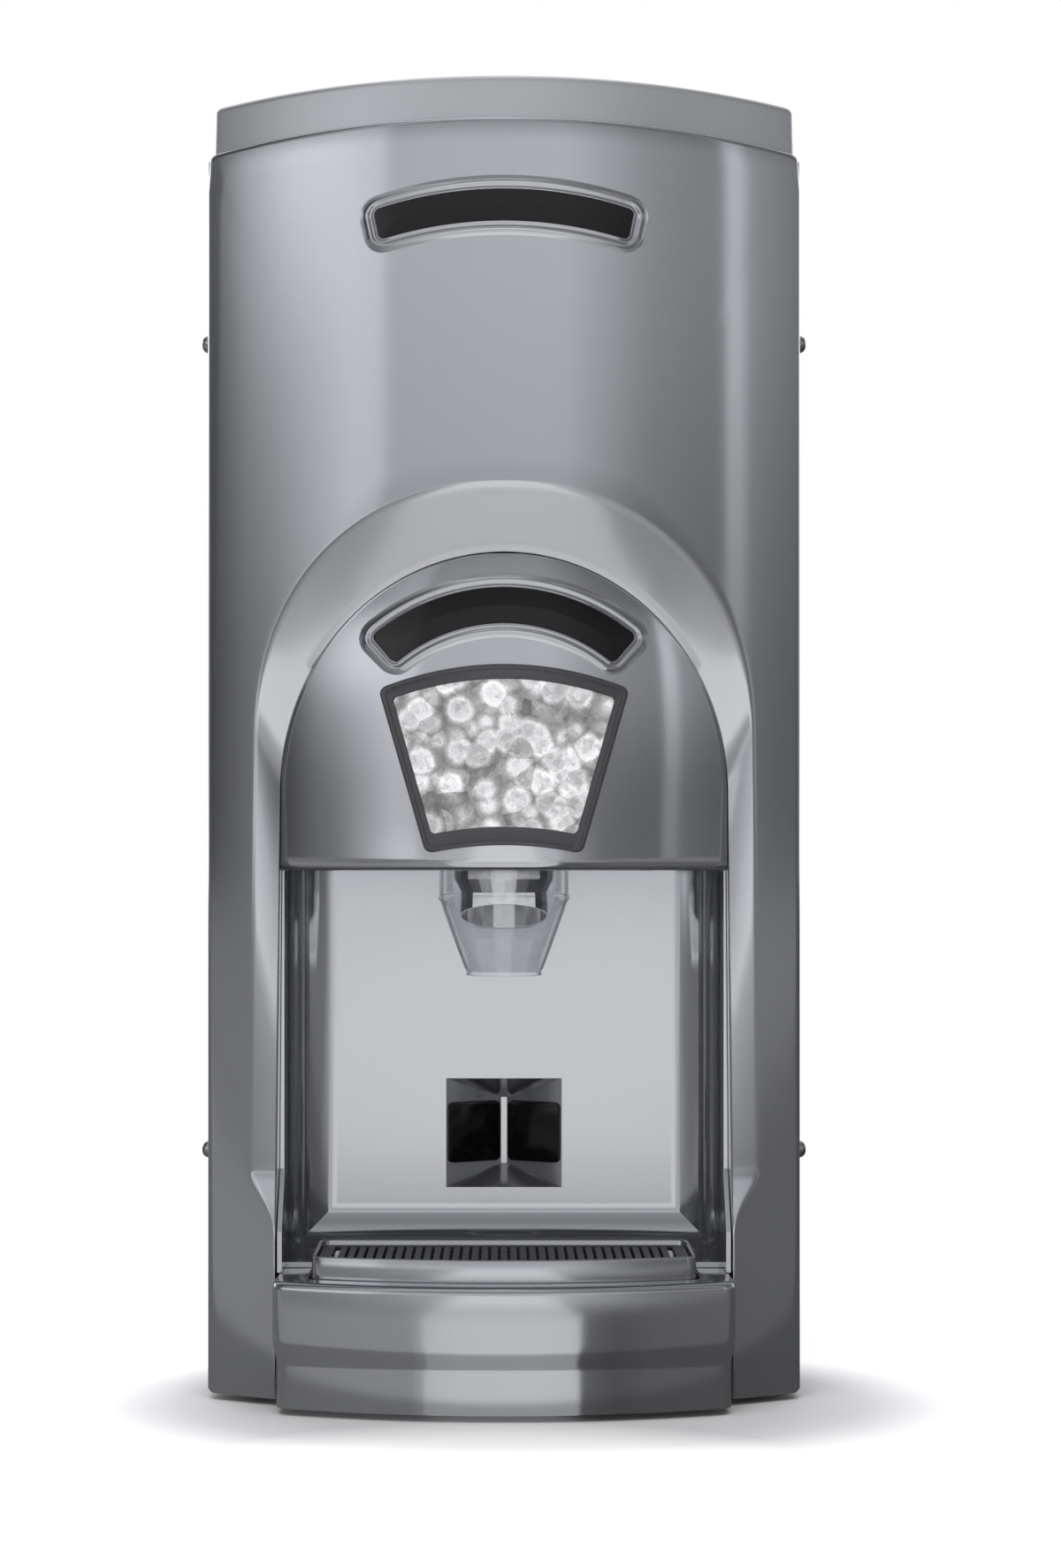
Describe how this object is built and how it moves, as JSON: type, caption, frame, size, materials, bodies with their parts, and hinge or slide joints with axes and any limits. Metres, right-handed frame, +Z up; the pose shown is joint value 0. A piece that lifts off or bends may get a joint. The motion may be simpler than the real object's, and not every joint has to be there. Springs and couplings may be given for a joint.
{
  "type": "countertop ice dispenser",
  "caption": "Bowed, touch-free ice dispenser: arched bay with a clear chute over a slotted drip tray, with its ice maker, bin, agitator and cooling inside.",
  "frame": {"origin": "under the middle of the object's box, on the surface it stands on", "axes": "+Z up, -Y the front with the bay, +X the right side seen from the front"},
  "size_m": [0.3606, 0.583, 0.7819],
  "materials": {
    "grey_gloss_plastic": "metallic grey, moulded, glossy",
    "grey_satin_plastic": "metallic grey, satin",
    "black_plastic": "black, smooth",
    "dark_grey_plastic": "dark grey, satin",
    "picture_pale": "pale frosted inset behind gloss",
    "clear_plastic": "clear",
    "steel": "polished",
    "zinc_sheet": "plated sheet",
    "rubber": "matt black",
    "white_plastic": "white, moulded",
    "foam_black": "closed-cell insulation",
    "brass": "turned",
    "aluminium": "mill",
    "motor_black": "black paint",
    "board_green": "circuit board"
  },
  "bodies": {
    "case": {"front_panel": "grey_gloss_plastic", "hood": "grey_gloss_plastic", "niche_liner": "grey_gloss_plastic", "sensor_window_left": "black_plastic", "sensor_window_right": "black_plastic", "sensor_board": "board_green", "sill": "grey_gloss_plastic", "name_plate": "black_plastic", "label_plate": "black_plastic", "window_frame": "dark_grey_plastic", "window_panel": "picture_pale", "chute": "clear_plastic", "spout": "steel", "base_pan": "zinc_sheet", "foot_front_left": "rubber", "foot_front_right": "rubber", "foot_rear_left": "rubber", "foot_rear_right": "rubber", "side_panel_left": "grey_satin_plastic", "side_panel_right": "grey_satin_plastic", "side_screw_lower_left": "steel", "side_screw_lower_right": "steel", "side_screw_upper_left": "steel", "side_screw_upper_right": "steel", "rear_panel": "zinc_sheet", "water_inlet": "brass", "drain_outlet": "brass", "drain_hose": "rubber", "bin_shelf": "zinc_sheet", "ice_bin": "white_plastic", "outlet_chamber": "white_plastic", "bin_lid": "white_plastic", "agitator_motor": "motor_black", "flap_solenoid": "motor_black", "evaporator": "foam_black", "auger_gearmotor": "motor_black", "nugget_head": "steel", "ice_tube": "foam_black", "compressor": "motor_black", "condenser": "aluminium", "fan_shroud": "zinc_sheet", "fan_motor": "motor_black", "float_tank": "white_plastic", "control_box": "zinc_sheet", "power_inlet": "black_plastic", "switch_frame": "black_plastic"},
    "cover": {"top_cover": "grey_satin_plastic"},
    "tray": {"drip_tray": "grey_gloss_plastic"},
    "grille": {"drip_grille": "black_plastic"},
    "agitator_set": {"agitator": "steel", "drive_gear": "white_plastic"},
    "pinion": {"motor_pinion": "steel"},
    "flap": {"outlet_flap": "steel"},
    "plunger": {"solenoid_plunger": "steel"},
    "auger_screw": {"auger": "steel"},
    "fan": {"fan_blade": "aluminium"},
    "float_arm": {"float": "white_plastic"},
    "rocker": {"switch_rocker": "black_plastic"}
  },
  "joints": [
    {"name": "cover_lift", "type": "slide", "parent": "case", "child": "cover", "axis": [0, 0, 1], "range_m": [0, 0.08]},
    {"name": "tray_lift", "type": "slide", "parent": "case", "child": "tray", "axis": [0, 0, 1], "range_m": [0, 0.045]},
    {"name": "grille_lift", "type": "slide", "parent": "tray", "child": "grille", "axis": [0, 0, 1], "range_m": [0, 0.045]},
    {"name": "agitator_turn", "type": "hinge", "parent": "case", "child": "agitator_set", "pos_m": [0, -0.025, 0.4], "axis": [0, 0, 1], "continuous": true},
    {"name": "pinion_turn", "type": "hinge", "parent": "case", "child": "pinion", "pos_m": [0.06, -0.025, 0.35], "axis": [0, 0, 1], "continuous": true},
    {"name": "flap_swing", "type": "hinge", "parent": "case", "child": "flap", "pos_m": [0, -0.1696, 0.4545], "axis": [-1, 0, 0], "range_deg": [0, 50], "stiffness_Nm_per_rad": 0.08, "springref_deg": -17.19},
    {"name": "plunger_pull", "type": "slide", "parent": "case", "child": "plunger", "axis": [0, 0, 1], "range_m": [0, 0.0137]},
    {"name": "auger_turn", "type": "hinge", "parent": "case", "child": "auger_screw", "pos_m": [-0.095, 0.19, 0.3], "axis": [0, 0, 1], "continuous": true},
    {"name": "fan_turn", "type": "hinge", "parent": "case", "child": "fan", "pos_m": [0.074, 0.1935, 0.118], "axis": [0, 1, 0], "continuous": true},
    {"name": "float_swing", "type": "hinge", "parent": "case", "child": "float_arm", "pos_m": [0.128, 0.115, 0.324], "axis": [1, 0, 0], "range_deg": [0, 28]},
    {"name": "switch_tip", "type": "hinge", "parent": "case", "child": "rocker", "pos_m": [0.123, 0.2705, 0.54], "axis": [1, 0, 0], "range_deg": [0, 16]}
  ],
  "couplings": [
    {"joint": "pinion_turn", "follows": "agitator_turn", "ratio": -3},
    {"joint": "plunger_pull", "follows": "flap_swing", "m_per_rad": 0.0155}
  ]
}
